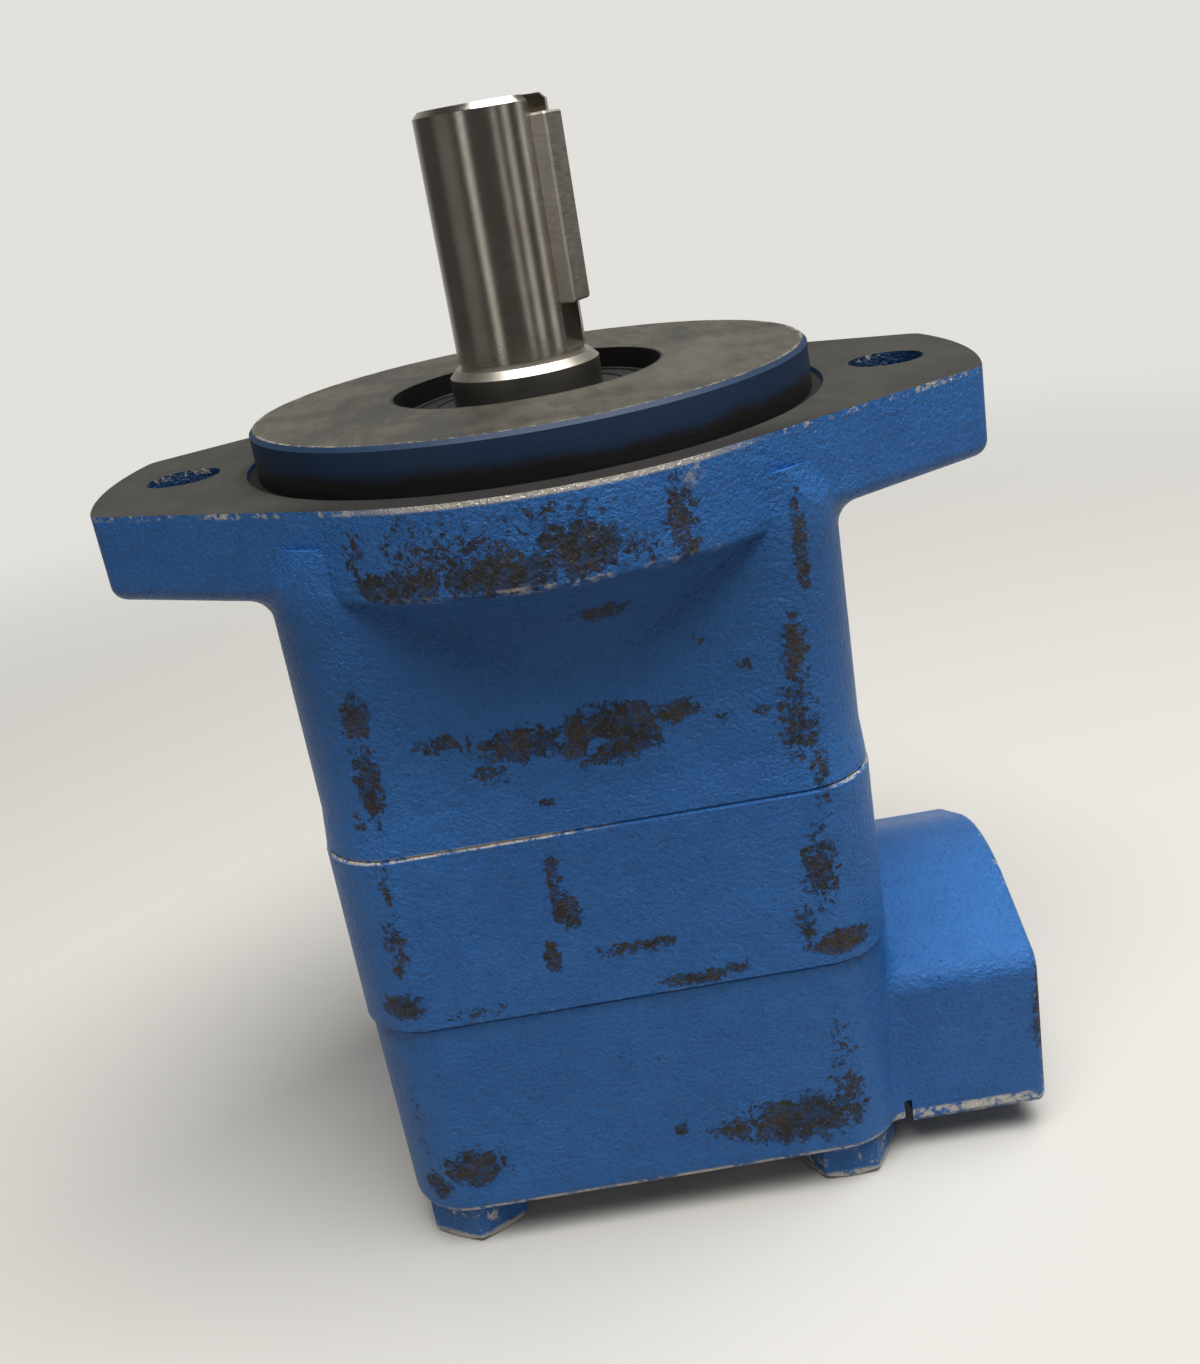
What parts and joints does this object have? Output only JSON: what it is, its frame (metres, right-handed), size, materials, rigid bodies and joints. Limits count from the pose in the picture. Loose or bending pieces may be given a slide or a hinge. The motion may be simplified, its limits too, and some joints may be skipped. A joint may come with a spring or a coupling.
{
  "type": "hydraulic vane pump",
  "caption": "Hydraulic vane pump: oval flange with round pilot and keyed shaft, square body, vane ring section and rear cover with a side inlet boss.",
  "frame": {"origin": "centre of the mounting face, on the shaft axis", "axes": "+Z along the shaft to its keyed end, +X to the inlet port on the rear cover, and the outlet port faces +Y"},
  "size_m": [0.13, 0.0952, 0.1613],
  "materials": {
    "blue_paint": "satin, worn",
    "ground_steel": "ground and polished",
    "key_steel": "plain",
    "hardened_steel": "ground",
    "bearing_steel": "polished",
    "spring_steel": "dark",
    "seal_rubber": "matte",
    "bronze": "satin"
  },
  "bodies": {
    "housing": {"front_body": "blue_paint", "cam_ring": "blue_paint", "rear_cover": "blue_paint", "shaft_seal": "seal_rubber", "seal_garter_spring": "spring_steel", "bearing_retaining_ring": "spring_steel", "bearing_outer_race": "bearing_steel", "plate_spring": "spring_steel", "body_face_seal": "seal_rubber", "cover_face_seal": "seal_rubber", "dowel_pins": "hardened_steel", "rear_bush": "bronze", "cover_screws": "blue_paint"},
    "shaft": {"drive_shaft": "ground_steel", "shaft_key": "key_steel", "bearing_inner_race": "bearing_steel", "shaft_retaining_ring": "spring_steel", "rotor": "hardened_steel"},
    "ball_set": {"bearing_cage": "hardened_steel", "bearing_balls": "bearing_steel"},
    "plate": {"pressure_plate": "bronze", "plate_hub_seal": "seal_rubber"},
    "vane_01": {"vane_01": "hardened_steel"},
    "vane_02": {"vane_02": "hardened_steel"},
    "vane_03": {"vane_03": "hardened_steel"},
    "vane_04": {"vane_04": "hardened_steel"},
    "vane_05": {"vane_05": "hardened_steel"},
    "vane_06": {"vane_06": "hardened_steel"},
    "vane_07": {"vane_07": "hardened_steel"},
    "vane_08": {"vane_08": "hardened_steel"},
    "vane_09": {"vane_09": "hardened_steel"},
    "vane_10": {"vane_10": "hardened_steel"},
    "vane_11": {"vane_11": "hardened_steel"},
    "vane_12": {"vane_12": "hardened_steel"}
  },
  "joints": [
    {"name": "shaft_spin", "type": "hinge", "parent": "housing", "child": "shaft", "pos_m": [0, 0, 0], "axis": [0, 0, 1], "continuous": true},
    {"name": "ball_set_spin", "type": "hinge", "parent": "housing", "child": "ball_set", "pos_m": [0, 0, 0], "axis": [0, 0, 1], "continuous": true},
    {"name": "plate_lift", "type": "slide", "parent": "housing", "child": "plate", "axis": [0, 0, 1], "range_m": [0, 0.0005], "stiffness_N_per_m": 40000, "springref_m": -0.001, "deforming": ["plate_spring"]},
    {"name": "vane_01_slide", "type": "slide", "parent": "shaft", "child": "vane_01", "axis": [1, 0, 0], "range_m": [0, 0.0004]},
    {"name": "vane_02_slide", "type": "slide", "parent": "shaft", "child": "vane_02", "axis": [0.866, 0.5, 0], "range_m": [0, 0.00066]},
    {"name": "vane_03_slide", "type": "slide", "parent": "shaft", "child": "vane_03", "axis": [0.5, 0.866, 0], "range_m": [0, 0.00355]},
    {"name": "vane_04_slide", "type": "slide", "parent": "shaft", "child": "vane_04", "axis": [0, 1, 0], "range_m": [0, 0.00405]},
    {"name": "vane_05_slide", "type": "slide", "parent": "shaft", "child": "vane_05", "axis": [-0.5, 0.866, 0], "range_m": [0, 0.00355]},
    {"name": "vane_06_slide", "type": "slide", "parent": "shaft", "child": "vane_06", "axis": [-0.866, 0.5, 0], "range_m": [0, 0.00066]},
    {"name": "vane_07_slide", "type": "slide", "parent": "shaft", "child": "vane_07", "axis": [-1, 0, 0], "range_m": [0, 0.0004]},
    {"name": "vane_08_slide", "type": "slide", "parent": "shaft", "child": "vane_08", "axis": [-0.866, -0.5, 0], "range_m": [0, 0.00066]},
    {"name": "vane_09_slide", "type": "slide", "parent": "shaft", "child": "vane_09", "axis": [-0.5, -0.866, 0], "range_m": [0, 0.00355]},
    {"name": "vane_10_slide", "type": "slide", "parent": "shaft", "child": "vane_10", "axis": [0, -1, 0], "range_m": [0, 0.00405]},
    {"name": "vane_11_slide", "type": "slide", "parent": "shaft", "child": "vane_11", "axis": [0.5, -0.866, 0], "range_m": [0, 0.00355]},
    {"name": "vane_12_slide", "type": "slide", "parent": "shaft", "child": "vane_12", "axis": [0.866, -0.5, 0], "range_m": [0, 0.00066]}
  ],
  "couplings": [
    {"joint": "ball_set_spin", "follows": "shaft_spin", "ratio": 0.3818}
  ]
}
